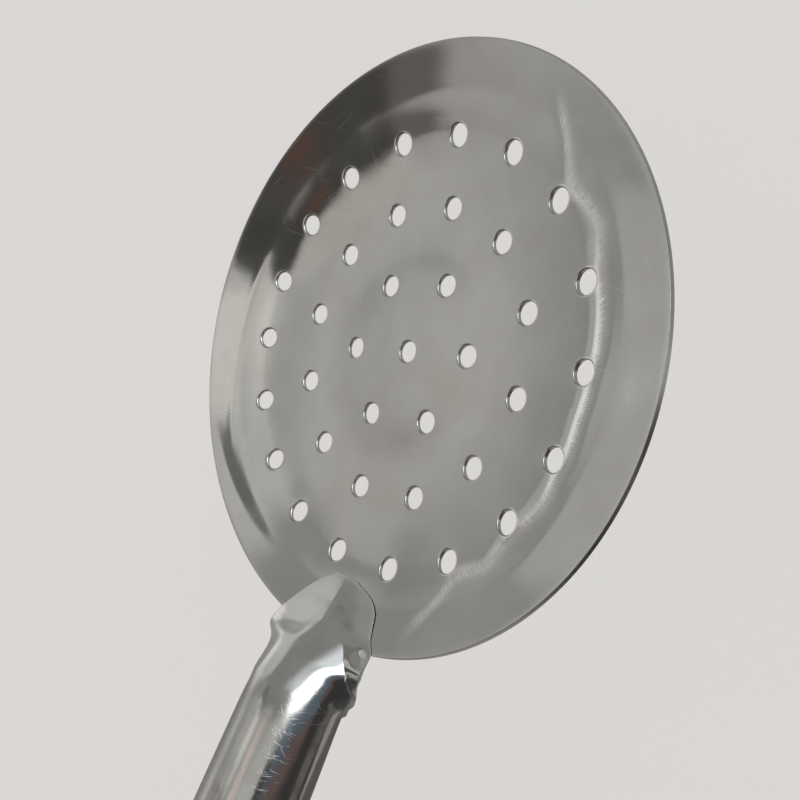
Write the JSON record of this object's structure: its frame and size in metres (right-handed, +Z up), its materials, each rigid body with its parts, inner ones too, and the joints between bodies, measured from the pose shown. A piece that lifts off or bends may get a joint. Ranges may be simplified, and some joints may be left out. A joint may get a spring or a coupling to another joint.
{
  "type": "kitchen skimmer",
  "caption": "Round dished skimmer disc punched with drain holes, with a long rolled sheet handle spot welded inside its rim.",
  "frame": {"origin": "middle of the centre drain hole, level with the flat underside of the disc", "axes": "+Z up out of the dished side, square to the flat centre of the disc; +X along the handle as seen from above, which climbs away from the rim"},
  "size_m": [0.3388, 0.11, 0.0798],
  "materials": {
    "disc_steel": "worn satin",
    "handle_steel": "worn polish",
    "weld": "satin"
  },
  "bodies": {
    "root": {"perforated_disc": "disc_steel", "handle": "handle_steel", "spot_weld_right": "weld", "spot_weld_left": "weld"}
  },
  "joints": []
}
